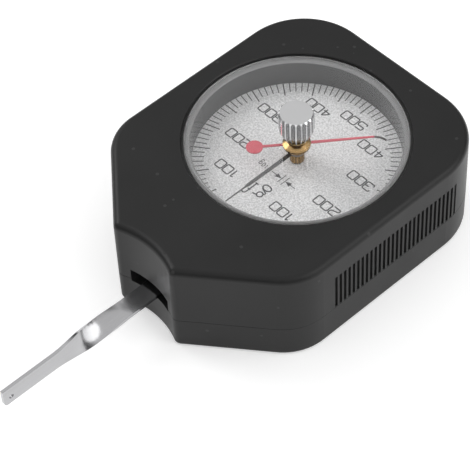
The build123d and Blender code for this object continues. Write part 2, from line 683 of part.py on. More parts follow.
def bent_tip():
    """The hand's last stretch, bent down along an arc that starts level."""
    run = PEAK_REACH - PEAK_BEND_AT
    middle = PEAK_HAND_Z + PEAK_HAND_THICK / 2
    drop = PEAK_HAND_Z - HAND_TOP - PEAK_TIP_GAP
    bend_r = (run * run + drop * drop) / (2 * drop)
    sweep = degrees(asin(run / bend_r))
    plane = Plane(origin=(PEAK_BEND_AT, 0, middle - bend_r), x_dir=(1, 0, 0), z_dir=(0, -1, 0))
    inner, outer = bend_r - PEAK_HAND_THICK / 2, bend_r + PEAK_HAND_THICK / 2
    low, high = CenterArc((0, 0), inner, 90, -sweep), CenterArc((0, 0), outer, 90, -sweep)
    profile = make_face([low, high, Line(low @ 0, high @ 0), Line(low @ 1, high @ 1)])
    return extrude(plane * profile, amount=PEAK_END_WIDTH / 2, both=True)


def peak_hub():
    """Brass bowl under the peak hand, with a neck that goes up through it to the window."""
    top = CRYSTAL_Z - WASHER_THICK - END_SHAKE
    bore = SHAFT_R + SEAT_GAP
    rim = Line((PEAK_BOWL_R, 0, PEAK_HAND_Z), (PEAK_NECK_R, 0, PEAK_HAND_Z))
    bulge = ((PEAK_BOWL_R + PEAK_BOWL_FOOT_R) / 2 + PEAK_BOWL_DEPTH / 4, 0,
             PEAK_HUB_Z + PEAK_BOWL_DEPTH / 3)
    bowl = ThreePointArc((PEAK_BOWL_FOOT_R, 0, PEAK_HUB_Z), bulge, (PEAK_BOWL_R, 0, PEAK_HAND_Z))
    rest = Polyline((PEAK_NECK_R, 0, PEAK_HAND_Z), (PEAK_NECK_R, 0, top), (bore, 0, top),
                    (bore, 0, PEAK_HUB_Z), (PEAK_BOWL_FOOT_R, 0, PEAK_HUB_Z))
    return revolve(make_face([bowl, rim, rest]), Axis.Z)


def peak_washer():
    washer = rod(PEAK_WASHER_R, PEAK_HAND_TOP, PEAK_HAND_TOP + PEAK_WASHER_THICK)
    washer = fillet(washer.edges().filter_by(GeomType.CIRCLE), PEAK_WASHER_THICK / 3)
    return washer - rod(PEAK_NECK_R + SEAT_GAP, PEAK_HAND_Z, CRYSTAL_Z)


def knob_shaft():
    return rod(SHAFT_R, PEAK_HUB_Z, KNOB_Z + KNOB_BORE_DEPTH)


def reset_knob():
    """Fluted knob whose foot tapers; the flutes keep their depth down the taper."""
    top, waist = KNOB_Z + KNOB_HEIGHT, KNOB_Z + KNOB_TAPER
    knob = turned([(0, KNOB_Z), (KNOB_FOOT_R, KNOB_Z), (KNOB_R, waist),
                   (KNOB_R, top - KNOB_TOP_BEVEL), (KNOB_R - KNOB_TOP_BEVEL, top), (0, top)])
    knob -= fluted(KNOB_R, KNOB_FLUTES, KNOB_FLUTE_R, KNOB_FLUTE_DEPTH, waist, top)
    lean = degrees(atan2(KNOB_R - KNOB_FOOT_R, KNOB_TAPER))
    middle = (KNOB_R + KNOB_FOOT_R) / 2 + KNOB_FLUTE_R - KNOB_FLUTE_DEPTH
    cutter = Pos(middle, 0, KNOB_Z + KNOB_TAPER / 2) * Rot(0, lean, 0) * Cylinder(
        KNOB_FLUTE_R, KNOB_TAPER + 2 * OVERCUT)
    knob -= [Rot(0, 0, i * 360 / KNOB_FLUTES) * cutter for i in range(KNOB_FLUTES)]
    return knob - rod(SHAFT_R + SEAT_GAP, KNOB_Z - OVERCUT, KNOB_Z + KNOB_BORE_DEPTH + SEAT_GAP)


def knob_bushing():
    bushing = rod(BUSHING_R, CRYSTAL_Z, CRYSTAL_TOP)
    bushing += rod(BUSHING_FLANGE_R, CRYSTAL_TOP, CRYSTAL_TOP + BUSHING_FLANGE)
    return bushing - bore(SHAFT_R + RUNNING_GAP, CRYSTAL_Z, CRYSTAL_TOP)


def friction_washer():
    return ring(WASHER_R, SHAFT_R + RUNNING_GAP, CRYSTAL_Z - WASHER_THICK, CRYSTAL_Z)


PIECES = [front_case, back_cover, case_screws, window_crystal, window_gasket, dial_spacer_ring,
          dial_plate, movement_plate, movement_bridge, bridge_pillars, bridge_screws,
          plate_screws, lever_bushes, pointer_bushes, load_springs, spring_block,
          spring_block_screws, spring_rest_pin, stop_pins, lever_arm, lever_hub, lever_screws,
          lever_arbor, sector_gear, spring_drive_pin, pinion_arbor, hairspring_collet,
          hairspring, hairspring_stud, pointer_hub, pointer_collar, load_hand, peak_hand,
          peak_hub, peak_washer, knob_shaft, reset_knob, knob_bushing, friction_washer]

os.makedirs("parts", exist_ok=True)
for piece in PIECES:
    export_step(piece(), f"parts/{piece.__name__}.step")
    print(piece.__name__)
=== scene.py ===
# %% [markdown]
# # Dressing a dial force gauge
# The gauge comes in as finished solids: a black moulded case, a silver dial under a clear
# window, two hands, a fluted knob and a twisted steel lever. The solids could be modelled
# again here, but they already have the right shape and move on real joints. So this
# notebook keeps them, gives each one a procedural finish, and adds what the solids leave
# out: the dial's print and the fine fittings.

# %% Load the solids
import bmesh
import bpy
from math import cos, pi, radians, sin
from mathutils import Matrix, Vector


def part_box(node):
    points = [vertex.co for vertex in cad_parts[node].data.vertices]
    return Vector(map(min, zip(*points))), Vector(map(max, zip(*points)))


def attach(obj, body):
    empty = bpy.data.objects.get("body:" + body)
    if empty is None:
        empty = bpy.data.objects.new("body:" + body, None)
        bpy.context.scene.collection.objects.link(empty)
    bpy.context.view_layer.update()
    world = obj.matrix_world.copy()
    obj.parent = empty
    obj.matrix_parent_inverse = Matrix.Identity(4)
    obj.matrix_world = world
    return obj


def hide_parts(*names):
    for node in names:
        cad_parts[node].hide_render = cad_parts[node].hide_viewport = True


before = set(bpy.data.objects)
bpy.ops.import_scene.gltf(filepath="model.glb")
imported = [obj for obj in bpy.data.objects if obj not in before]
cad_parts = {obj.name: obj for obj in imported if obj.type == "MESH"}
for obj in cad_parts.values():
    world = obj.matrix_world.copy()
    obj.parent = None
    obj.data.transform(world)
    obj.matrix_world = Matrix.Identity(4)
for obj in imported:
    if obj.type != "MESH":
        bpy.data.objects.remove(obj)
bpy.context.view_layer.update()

MM = 0.001

# %% [markdown]
# ## Camera
# The camera stands high over the gauge's right front corner with a long lens, so the case
# hardly tapers. An empty with a Track To constraint could aim it, but the view also leans
# a little to one side. Three axes built from azimuth, elevation and roll say that plainly.

# %% Camera
VIEW_AZIMUTH = radians(49.725)
VIEW_ELEVATION = radians(50.068)
VIEW_ROLL = radians(-3.318)
VIEW_DISTANCE = 496.9 * MM
VIEW_TARGET = Vector((-5.165 * MM, -16.09 * MM, 0))
FOCAL_PIXELS = 2069
FRAME_PIXELS = 470
SENSOR = 36


def view_axes():
    """The camera's right, up and backward directions."""
    a, e, roll = VIEW_AZIMUTH, VIEW_ELEVATION, VIEW_ROLL
    back = Vector((sin(a) * cos(e), -cos(a) * cos(e), sin(e)))
    right = Vector((cos(a), sin(a), 0))
    up = back.cross(right)
    return right * cos(roll) + up * sin(roll), up * cos(roll) - right * sin(roll), back


right, up, back = view_axes()
camera_data = bpy.data.cameras.new("camera")
camera_data.sensor_width = SENSOR
camera_data.lens = FOCAL_PIXELS / FRAME_PIXELS * SENSOR
camera_data.clip_start = 10 * MM
camera = bpy.data.objects.new("camera", camera_data)
bpy.context.collection.objects.link(camera)
turn = Matrix((right, up, back)).transposed().to_4x4()
camera.matrix_world = Matrix.Translation(VIEW_TARGET + back * VIEW_DISTANCE) @ turn
bpy.context.scene.camera = camera
bpy.context.scene.view_settings.view_transform = "Standard"
print("camera at", [round(v / MM, 1) for v in camera.matrix_world.translation], "mm")

# %% [markdown]
# ## Node helpers
# A shader tree written out link by link is long and hard to read. Four small helpers keep
# each finish to a few lines: one adds a node with its settings, one joins two sockets, one
# opens a node group with named sockets, and one starts a material.

# %% Node helpers
def add(tree, kind, **settings):
    """A new shader node; keys that aren't properties set the input of that name."""
    node = tree.nodes.new("ShaderNode" + kind)
    for key, value in settings.items():
        name = key.replace("_", " ").title()
        if key in node.bl_rna.properties:
            setattr(node, key, value)
        else:
            node.inputs[name].default_value = value
    return node


def join(tree, source, target):
    tree.links.new(source, target)


def new_group(name, inputs, outputs):
    """An empty node group whose sockets are all numbers, apart from those that end in Vector."""
    tree = bpy.data.node_groups.new(name, "ShaderNodeTree")
    for direction, names in (("INPUT", inputs), ("OUTPUT", outputs)):
        for label, value in names.items():
            kind = "NodeSocketVector" if label.endswith("Vector") else "NodeSocketFloat"
            socket = tree.interface.new_socket(label, in_out=direction, socket_type=kind)
            if direction == "INPUT":
                socket.default_value = value
    return tree, tree.nodes.new("NodeGroupInput"), tree.nodes.new("NodeGroupOutput")


def place_group(tree, group, **values):
    """Puts a node group into a material with its own values."""
    node = tree.nodes.new("ShaderNodeGroup")
    node.node_tree = group
    for key, value in values.items():
        node.inputs[key.replace("_", " ").title()].default_value = value
    return node


def new_material(name, base, roughness, metallic=0.0):
    """A material whose Principled shader has plain starting values."""
    made = bpy.data.materials.new(name)
    made.use_nodes = True
    shader = made.node_tree.nodes["Principled BSDF"]
    shader.inputs["Base Color"].default_value = (*base, 1)
    shader.inputs["Roughness"].default_value = roughness
    shader.inputs["Metallic"].default_value = metallic
    return made, made.node_tree, shader


def math(tree, operation, first, second=None, third=None, clamp=False):
    """A Math node whose inputs are sockets or numbers; gives its output socket."""
    node = tree.nodes.new("ShaderNodeMath")
    node.operation = operation
    node.use_clamp = clamp
    for index, value in enumerate((first, second, third)):
        if value is None:
            continue
        if isinstance(value, (int, float)):
            node.inputs[index].default_value = value
        else:
            tree.links.new(value, node.inputs[index])
    return node.outputs[0]


def blend_colours(tree, mask, low, high):
    """A colour that goes from low to high with the mask."""
    node = tree.nodes.new("ShaderNodeMix")
    node.data_type = "RGBA"
    tree.links.new(mask, node.inputs["Factor"])
    for socket, colour in ((node.inputs[6], low), (node.inputs[7], high)):
        if isinstance(colour, tuple):
            socket.default_value = (*colour, 1)
        else:
            tree.links.new(colour, socket)
    return node.outputs[2]


def spread(tree, mask, low, high):
    """A number that goes from low to high with the mask."""
    node = tree.nodes.new("ShaderNodeMapRange")
    node.inputs["To Min"].default_value = low
    node.inputs["To Max"].default_value = high
    tree.links.new(mask, node.inputs["Value"])
    return node.outputs["Result"]


def raise_surface(tree, shader, height, depth):
    """Feeds a height into the shader's normal; depth is in metres."""
    bump = tree.nodes.new("ShaderNodeBump")
    bump.inputs["Distance"].default_value = depth
    tree.links.new(height, bump.inputs["Height"])
    tree.links.new(bump.outputs["Normal"], shader.inputs["Normal"])
    return bump


print("helpers ready")

# %% [markdown]
# ## Shared effects
# Six effects come back on several finishes: the grain of moulded plastic, the fine lines
# of brushed metal, the rings that a lathe leaves, small specks, edges rubbed bright, and
# an occlusion mask of grooves and corners where shade falls, used for painted shade. Each could be drawn
# again in every material. As groups they are built once, and every material sets its own scale and strength.

# %% Moulded grain
def make_grain_group():
    """Pebbled surface of a spark-eroded mould, with slow drifts in tone."""
    tree, source, result = new_group(
        "moulded_grain", {"Grain Size": 0.25 * MM}, {"Height": 0, "Tone": 0})
    place = add(tree, "TexCoord")
    scale = math(tree, "DIVIDE", 1.0, source.outputs["Grain Size"])
    pebbles = add(tree, "TexNoise", detail=3.0, roughness=0.6)
    join(tree, place.outputs["Object"], pebbles.inputs["Vector"])
    join(tree, scale, pebbles.inputs["Scale"])
    join(tree, pebbles.outputs["Fac"], result.inputs["Height"])
    drift = add(tree, "TexNoise", scale=60.0, detail=4.0)
    join(tree, place.outputs["Object"], drift.inputs["Vector"])
    tone = math(tree, "MULTIPLY_ADD", drift.outputs["Fac"], 2.2, -0.6, clamp=True)
    join(tree, tone, result.inputs["Tone"])
    return tree


GRAIN = make_grain_group()

# %% Brushed lines
def make_brushed_group():
    """Fine lines left by a belt; the stretch vector is the lines' density along X, Y and Z."""
    tree, source, result = new_group(
        "brushed_lines", {"Stretch Vector": (400, 12, 400)}, {"Height": 0, "Tone": 0})
    place = add(tree, "TexCoord")
    squeeze = add(tree, "VectorMath", operation="MULTIPLY")
    join(tree, place.outputs["Object"], squeeze.inputs[0])
    join(tree, source.outputs["Stretch Vector"], squeeze.inputs[1])
    lines = add(tree, "TexNoise", scale=12.0, detail=4.0, roughness=0.65)
    join(tree, squeeze.outputs[0], lines.inputs["Vector"])
    join(tree, lines.outputs["Fac"], result.inputs["Height"])
    cloud = add(tree, "TexNoise", scale=140.0, detail=3.0)
    join(tree, place.outputs["Object"], cloud.inputs["Vector"])
    join(tree, cloud.outputs["Fac"], result.inputs["Tone"])
    return tree


BRUSHED = make_brushed_group()

# %% Turned rings
def make_turned_group():
    """Rings about an upright axis, as a lathe tool leaves them."""
    tree, source, result = new_group(
        "turned_rings", {"Axis Vector": (0, 0, 0), "Ring Pitch": 0.06 * MM}, {"Height": 0})
    place = add(tree, "TexCoord")
    centred = add(tree, "VectorMath", operation="SUBTRACT")
    join(tree, place.outputs["Object"], centred.inputs[0])
    join(tree, source.outputs["Axis Vector"], centred.inputs[1])
    parts = add(tree, "SeparateXYZ")
    join(tree, centred.outputs[0], parts.inputs[0])
    square_x = math(tree, "MULTIPLY", parts.outputs[0], parts.outputs[0])
    square_y = math(tree, "MULTIPLY", parts.outputs[1], parts.outputs[1])
    radius = math(tree, "SQRT", math(tree, "ADD", square_x, square_y))
    travel = math(tree, "ADD", radius, parts.outputs[2])
    rings = add(tree, "TexNoise", noise_dimensions="1D", scale=1.0, detail=2.0)
    join(tree, math(tree, "DIVIDE", travel, source.outputs["Ring Pitch"]), rings.inputs["W"])
    join(tree, rings.outputs["Fac"], result.inputs["Height"])
    return tree


TURNED = make_turned_group()

# %% Specks
def make_speck_group():
    """Sparse small dots: dust, or the bright grains of a blasted dial."""
    tree, source, result = new_group(
        "specks", {"Speck Pitch": 0.6 * MM, "Speck Share": 0.12}, {"Mask": 0})
    place = add(tree, "TexCoord")
    cells = add(tree, "TexVoronoi")
    join(tree, place.outputs["Object"], cells.inputs["Vector"])
    join(tree, math(tree, "DIVIDE", 1.0, source.outputs["Speck Pitch"]), cells.inputs["Scale"])
    pick = add(tree, "SeparateColor")
    join(tree, cells.outputs["Color"], pick.inputs[0])
    chosen = math(tree, "LESS_THAN", pick.outputs[0], source.outputs["Speck Share"])
    near = math(tree, "LESS_THAN", cells.outputs["Distance"], 0.3)
    join(tree, math(tree, "MULTIPLY", chosen, near), result.inputs["Mask"])
    return tree


SPECKS = make_speck_group()

# %% Rubbed edges
def make_edge_group():
    """Where the surface turns within a small radius, broken up by noise."""
    tree, source, result = new_group(
        "rubbed_edges", {"Edge Width": 0.4 * MM, "Break Up": 900.0}, {"Mask": 0})
    rounded = add(tree, "Bevel", samples=4)
    join(tree, source.outputs["Edge Width"], rounded.inputs["Radius"])
    facing = add(tree, "NewGeometry")
    compare = add(tree, "VectorMath", operation="DOT_PRODUCT")
    join(tree, rounded.outputs["Normal"], compare.inputs[0])
    join(tree, facing.outputs["Normal"], compare.inputs[1])
    turn_away = math(tree, "SUBTRACT", 1.0, compare.outputs["Value"])
    edge = math(tree, "MULTIPLY", turn_away, 6.0, clamp=True)
    place = add(tree, "TexCoord")
    patches = add(tree, "TexNoise", detail=3.0)
    join(tree, place.outputs["Object"], patches.inputs["Vector"])
    join(tree, source.outputs["Break Up"], patches.inputs["Scale"])
    worn = math(tree, "MULTIPLY_ADD", patches.outputs["Fac"], 2.4, -0.7, clamp=True)
    join(tree, math(tree, "MULTIPLY", edge, worn), result.inputs["Mask"])
    return tree


EDGES = make_edge_group()

# %% Shaded recesses
def make_recess_group():
    """Grooves and corners, read from ambient occlusion where shade falls; finishes paint shade there, and
    the case paints its grooves lighter.
    """
    tree, source, result = new_group("recesses", {"Reach": 0.5 * MM, "Strength": 2.0}, {"Mask": 0})
    shade = add(tree, "AmbientOcclusion", samples=8)
    join(tree, source.outputs["Reach"], shade.inputs["Distance"])
    closed = math(tree, "SUBTRACT", 1.0, shade.outputs["AO"])
    mask = math(tree, "MULTIPLY", closed, source.outputs["Strength"], clamp=True)
    join(tree, mask, result.inputs["Mask"])
    return tree


RECESSES = make_recess_group()
print("effect groups:", [g.name for g in bpy.data.node_groups])

# %% [markdown]
# ## Finishes
# Every finish starts from the Principled shader. The black plastic is satin, with a fine
# grain and edges that hands have polished. A plain dark colour would look like rubber:
# it is the grain in the roughness that makes the highlights soft and alive.

# %% Black plastic
def make_case_plastic():
    made, tree, shader = new_material("case_plastic", (0.010, 0.010, 0.010), 0.42)
    grain = place_group(tree, GRAIN, grain_size=0.22 * MM)
    dust = place_group(tree, SPECKS, speck_pitch=1.4 * MM, speck_share=0.03)
    edges = place_group(tree, EDGES, edge_width=0.5 * MM)
    recess = place_group(tree, RECESSES, reach=0.9 * MM, strength=1.0)
    toned = blend_colours(tree, grain.outputs["Tone"], (0.007, 0.007, 0.007), (0.011, 0.011, 0.011))
    dusty = blend_colours(tree, math(tree, "MULTIPLY", dust.outputs["Mask"], 0.3),
                          toned, (0.07, 0.07, 0.07))
    rubbed = blend_colours(tree, math(tree, "MULTIPLY", edges.outputs["Mask"], 0.4),
                           dusty, (0.04, 0.04, 0.04))
    # Grooves and corners are painted lighter than the face: partly dust, and partly painted light that lifts
    # the shade the occlusion mask finds there.
    dust_and_light_in_grooves = blend_colours(tree, recess.outputs["Mask"], rubbed, (0.045, 0.045, 0.045))
    join(tree, dust_and_light_in_grooves, shader.inputs["Base Color"])
    shader.inputs["Specular IOR Level"].default_value = 0.3
    join(tree, spread(tree, grain.outputs["Tone"], 0.36, 0.46), shader.inputs["Roughness"])
    raise_surface(tree, shader, grain.outputs["Height"], 0.012 * MM)
    return made


CASE_PLASTIC = make_case_plastic()

# %% Rubber gasket and grey ring
def make_gasket_rubber():
    made, tree, shader = new_material("gasket_rubber", (0.012, 0.012, 0.012), 0.7)
    grain = place_group(tree, GRAIN, grain_size=0.12 * MM)
    toned = blend_colours(tree, grain.outputs["Tone"], (0.009, 0.009, 0.009), (0.018, 0.018, 0.018))
    join(tree, toned, shader.inputs["Base Color"])
    raise_surface(tree, shader, grain.outputs["Height"], 0.02 * MM)
    return made


def make_ring_plastic():
    """The spacer ring is smooth enough to mirror the ends of the dial's marks. Its top face is painted
    lighter than its wall, as painted light.
    """
    made, tree, shader = new_material("ring_plastic", (0.09, 0.09, 0.092), 0.14)
    grain = place_group(tree, GRAIN, grain_size=0.5 * MM)
    toned = blend_colours(tree, grain.outputs["Tone"], (0.05, 0.05, 0.052), (0.07, 0.07, 0.072))
    # Painted light: faces that look up are painted light grey, and the wall stays dark as if in shade.
    facing = add(tree, "NewGeometry")
    parts = add(tree, "SeparateXYZ")
    join(tree, facing.outputs["Normal"], parts.inputs[0])
    painted_lit_top = math(tree, "GREATER_THAN", parts.outputs[2], 0.5)
    join(tree, blend_colours(tree, painted_lit_top, toned, (0.2, 0.2, 0.202)), shader.inputs["Base Color"])
    join(tree, spread(tree, grain.outputs["Tone"], 0.18, 0.24), shader.inputs["Roughness"])
    shader.inputs["IOR"].default_value = 1.45
    return made


GASKET_RUBBER = make_gasket_rubber()
RING_PLASTIC = make_ring_plastic()

# %% Silver dial
def make_dial_silver():
    """Blasted and lacquered aluminium: a mottled silver grain with a weak mirror on top."""
    made, tree, shader = new_material("dial_silver", (0.66, 0.66, 0.665), 0.55)
    grain = place_group(tree, GRAIN, grain_size=0.42 * MM)
    sparkle = place_group(tree, SPECKS, speck_pitch=0.34 * MM, speck_share=0.3)
    mottled = blend_colours(tree, math(tree, "MULTIPLY_ADD", grain.outputs["Height"], 4.0, -1.5, clamp=True),
                            (0.49, 0.49, 0.494), (0.81, 0.81, 0.814))
    bright = blend_colours(tree, math(tree, "MULTIPLY", sparkle.outputs["Mask"], 0.3),
                           mottled, (0.85, 0.85, 0.85))
    join(tree, bright, shader.inputs["Base Color"])
    shader.inputs["Coat Weight"].default_value = 0.4
    shader.inputs["Coat Roughness"].default_value = 0.2
    raise_surface(tree, shader, grain.outputs["Height"], 0.006 * MM)
    return made


DIAL_SILVER = make_dial_silver()

# %% [markdown]
# The metals differ in how they were made. Sheet and strip carry belt lines along their
# length, turned pieces carry rings, and castings neither. One function takes the colour
# and the kind of line, so ten metals stay short.

# %% Metals
def make_metal(name, base, roughness, lines, depth=0.0006 * MM, wear=0.3, shade=0.8, shade_strength=0.3):
    """A metal with belt or lathe lines and painted shade in its recesses; lines is a placed group's builder.
    """
    made, tree, shader = new_material(name, base, roughness, metallic=1.0)
    marks = lines(tree)
    edges = place_group(tree, EDGES, edge_width=0.12 * MM, break_up=2500.0)
    darker = tuple(c * shade for c in base)
    toned = blend_colours(tree, marks.outputs["Height"], darker, base)
    brighter = tuple(min(1.0, c * 1.15) for c in base)
    worn = blend_colours(tree, math(tree, "MULTIPLY", edges.outputs["Mask"], wear), toned, brighter)
    # Painted shade: where the occlusion mask finds a groove or corner, the colour goes towards a dark copy
    # of the base.
    recess = place_group(tree, RECESSES, reach=0.4 * MM)
    dull = tuple(c * 0.12 for c in base)
    shaded_recesses = blend_colours(tree, math(tree, "MULTIPLY", recess.outputs["Mask"], shade_strength), worn, dull)
    join(tree, shaded_recesses, shader.inputs["Base Color"])
    join(tree, spread(tree, marks.outputs["Height"], roughness * 0.75, roughness * 1.35),
         shader.inputs["Roughness"])
    raise_surface(tree, shader, marks.outputs["Height"], depth)
    return made


def belt(x, y, z):
    return lambda tree: place_group(tree, BRUSHED, stretch_vector=(x, y, z))


def lathe(x=0.0, y=0.0, pitch=0.08 * MM):
    return lambda tree: place_group(tree, TURNED, axis_vector=(x, y, 0), ring_pitch=pitch)


STEEL = (0.66, 0.66, 0.67)
BRASS = (0.72, 0.50, 0.22)
LEVER_STEEL = make_metal("lever_steel", (0.52, 0.52, 0.53), 0.18, belt(420, 9, 420))
PLATE_BRASS = make_metal("plate_brass", (0.70, 0.50, 0.24), 0.34, belt(9, 300, 300))
BUSH_BRASS = make_metal("bush_brass", BRASS, 0.3, lathe())
# The brass hubs take the full painted shade in their hollows.
HUB_BRASS = make_metal("hub_brass", (0.64, 0.42, 0.19), 0.15, lathe(pitch=0.12 * MM), shade=0.55, shade_strength=1.0)
SCREW_STEEL = make_metal("screw_steel", STEEL, 0.26, lathe())
GEAR_STEEL = make_metal("gear_steel", (0.58, 0.58, 0.59), 0.3, belt(60, 60, 60))
SPRING_STEEL = make_metal("spring_steel", (0.42, 0.43, 0.46), 0.28, belt(400, 12, 400))
HAIR_BRONZE = make_metal("hair_bronze", (0.62, 0.40, 0.20), 0.25, belt(200, 200, 200))
COLLAR_GREY = make_metal("collar_grey", (0.36, 0.36, 0.37), 0.42, lathe(pitch=0.1 * MM))
SHAFT_STEEL = make_metal("shaft_steel", STEEL, 0.22, lathe(pitch=0.05 * MM))
print("metals:", len([m for m in bpy.data.materials if m.name.count("_") == 1]))

# %% Knob plating
def make_knob_plate():
    """Bright plating on the flutes, with painted shade in their valleys; the top face is bead-blasted and
    stays matte.
    """
    made, tree, shader = new_material("knob_plate", (0.80, 0.80, 0.81), 0.12, metallic=1.0)
    rings = place_group(tree, TURNED, axis_vector=(0, 0, 0), ring_pitch=0.05 * MM)
    grain = place_group(tree, GRAIN, grain_size=0.15 * MM)
    # Painted shade: the flute valleys that the occlusion mask finds are painted near black.
    recess = place_group(tree, RECESSES, reach=0.7 * MM, strength=3.2)
    grooves = blend_colours(tree, recess.outputs["Mask"], (0.92, 0.92, 0.93), (0.04, 0.04, 0.043))
    facing = add(tree, "NewGeometry")
    parts = add(tree, "SeparateXYZ")
    join(tree, facing.outputs["Normal"], parts.inputs[0])
    flat_top = math(tree, "GREATER_THAN", parts.outputs[2], 0.98)
    join(tree, blend_colours(tree, flat_top, grooves, (0.60, 0.60, 0.605)),
         shader.inputs["Base Color"])
    join(tree, spread(tree, flat_top, 0.16, 0.62), shader.inputs["Roughness"])
    height = math(tree, "ADD", math(tree, "MULTIPLY", rings.outputs["Height"], 0.15),
                  math(tree, "MULTIPLY", grain.outputs["Height"], flat_top))
    raise_surface(tree, shader, height, 0.006 * MM)
    return made


KNOB_PLATE = make_knob_plate()

# %% [markdown]
# ## Paint on the hands
# Both hands are thin stamped blades with sprayed paint. The red one is left unpainted and dark
# where its tip bends down, so its colour follows the distance along the hand. The black one turns lighter
# grey past 5 mm from the hub: a painted reflection.

# %% Hand paints
PEAK_HEADING = radians(52)
PAINT_ENDS = 17.9 * MM
PAINT_FADE = 0.5 * MM


def make_hand_paint(name, base, bare_and_sheen, reach, heading):
    made, tree, shader = new_material(name, base, 0.32)
    grain = place_group(tree, GRAIN, grain_size=0.1 * MM)
    place = add(tree, "TexCoord")
    along = add(tree, "VectorMath", operation="DOT_PRODUCT")
    join(tree, place.outputs["Object"], along.inputs[0])
    along.inputs[1].default_value = (cos(heading), sin(heading), 0)
    beyond = math(tree, "MULTIPLY_ADD", along.outputs["Value"],
                  1 / PAINT_FADE, -reach / PAINT_FADE, clamp=True)
    darker = tuple(c * 0.85 for c in base)
    toned = blend_colours(tree, grain.outputs["Tone"], darker, base)
    join(tree, blend_colours(tree, beyond, toned, bare_and_sheen), shader.inputs["Base Color"])
    join(tree, spread(tree, grain.outputs["Tone"], 0.26, 0.4), shader.inputs["Roughness"])
    shader.inputs["Coat Weight"].default_value = 0.2
    shader.inputs["Coat Roughness"].default_value = 0.35
    raise_surface(tree, shader, grain.outputs["Height"], 0.002 * MM)
    return made


RED_PAINT = make_hand_paint("red_paint", (0.66, 0.085, 0.12), (0.05, 0.04, 0.04), PAINT_ENDS, PEAK_HEADING)
# Painted reflection: the black hand is painted lighter grey beyond 5 mm from the hub, and its paint is the
# same there.
BLACK_PAINT = make_hand_paint("black_paint", (0.016, 0.016, 0.016), (0.06, 0.06, 0.06), 5 * MM, -pi / 2)

# %% Window
def make_window_glass():
    """Clear acrylic with a sawn, dull rim; shadow rays see it as open, which spares caustics."""
    made, tree, shader = new_material("window_glass", (1, 1, 1), 0.02)
    shader.inputs["Transmission Weight"].default_value = 1.0
    shader.inputs["IOR"].default_value = 1.45
    grain = place_group(tree, GRAIN, grain_size=4 * MM)
    facing = add(tree, "NewGeometry")
    parts = add(tree, "SeparateXYZ")
    join(tree, facing.outputs["Normal"], parts.inputs[0])
    rim = math(tree, "LESS_THAN", math(tree, "ABSOLUTE", parts.outputs[2]), 0.9)
    clear = spread(tree, grain.outputs["Tone"], 0.0, 0.03)
    join(tree, math(tree, "MAXIMUM", clear, math(tree, "MULTIPLY", rim, 0.7)), shader.inputs["Roughness"])
    join(tree, blend_colours(tree, rim, (1, 1, 1), (0.5, 0.5, 0.5)), shader.inputs["Base Color"])
    path = add(tree, "LightPath")
    open_air = add(tree, "BsdfTransparent")
    either = add(tree, "MixShader")
    join(tree, path.outputs["Is Shadow Ray"], either.inputs["Fac"])
    join(tree, shader.outputs[0], either.inputs[1])
    join(tree, open_air.outputs[0], either.inputs[2])
    join(tree, either.outputs[0], tree.nodes["Material Output"].inputs["Surface"])
    return made


WINDOW_GLASS = make_window_glass()

# %% Ink
def make_dial_ink():
    made, tree, shader = new_material("dial_ink", (0.035, 0.035, 0.037), 0.5)
    grain = place_group(tree, GRAIN, grain_size=0.2 * MM)
    toned = blend_colours(tree, grain.outputs["Tone"], (0.02, 0.02, 0.022), (0.045, 0.045, 0.047))
    join(tree, toned, shader.inputs["Base Color"])
    raise_surface(tree, shader, grain.outputs["Height"], 0.002 * MM)
    return made


DIAL_INK = make_dial_ink()

# %% [markdown]
# ## Dressing the solids
# Each solid takes one finish. A dictionary from finish to nodes is easier to check against
# the parts list than forty assignments, and the loop can say which node was forgotten.

# %% Give every solid its finish
FINISHES = [
    (CASE_PLASTIC, ["front_case", "back_cover"]),
    (GASKET_RUBBER, ["window_gasket"]),
    (RING_PLASTIC, ["dial_spacer_ring"]),
    (WINDOW_GLASS, ["window_crystal"]),
    (DIAL_SILVER, ["dial_plate"]),
    (PLATE_BRASS, ["movement_plate", "movement_bridge"]),
    (BUSH_BRASS, ["bridge_pillars", "lever_bushes", "pointer_bushes", "spring_block",
                  "hairspring_stud", "hairspring_collet", "knob_bushing", "lever_hub"]),
    (SCREW_STEEL, ["case_screws", "bridge_screws", "plate_screws", "lever_screws",
                   "spring_block_screws"]),
    (GEAR_STEEL, ["sector_gear", "pinion_arbor", "spring_rest_pin", "stop_pins",
                  "spring_drive_pin", "lever_arbor"]),
    (SPRING_STEEL, ["load_springs", "friction_washer"]),
    (HAIR_BRONZE, ["hairspring"]),
    (LEVER_STEEL, ["lever_arm"]),
    (HUB_BRASS, ["pointer_hub", "peak_hub", "peak_washer"]),
    (COLLAR_GREY, ["pointer_collar"]),
    (BLACK_PAINT, ["load_hand"]),
    (RED_PAINT, ["peak_hand"]),
    (KNOB_PLATE, ["reset_knob"]),
    (SHAFT_STEEL, ["knob_shaft"]),
]


def dress(node, finish):
    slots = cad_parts[node].data.materials
    slots.clear()
    slots.append(finish)


dressed = []
for finish, nodes in FINISHES:
    for node in nodes:
        dress(node, finish)
        dressed.append(node)
print("dressed", len(dressed), "left:", sorted(set(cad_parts) - set(dressed)))

# %% [markdown]
# ## Dial marks
# The dial is printed: a hundred marks, numbers and a unit. A decal image would be one way,
# but flat printed relief stays sharp at any distance. One small bar is made per kind of
# mark, and spin with duplicates sets it round the dial.

# %% Dial sizes
DIAL_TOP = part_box("dial_plate")[1][2]
DIAL_EDGE = 24.85 * MM
INK_THICK = 0.02 * MM
DIVISIONS = 100
LONG_EVERY = 5
SHORT_MARK = (22.0 * MM, 0.24 * MM)
LONG_MARK = (20.9 * MM, 0.3 * MM)
print("dial face at", round(DIAL_TOP / MM, 2), "mm")

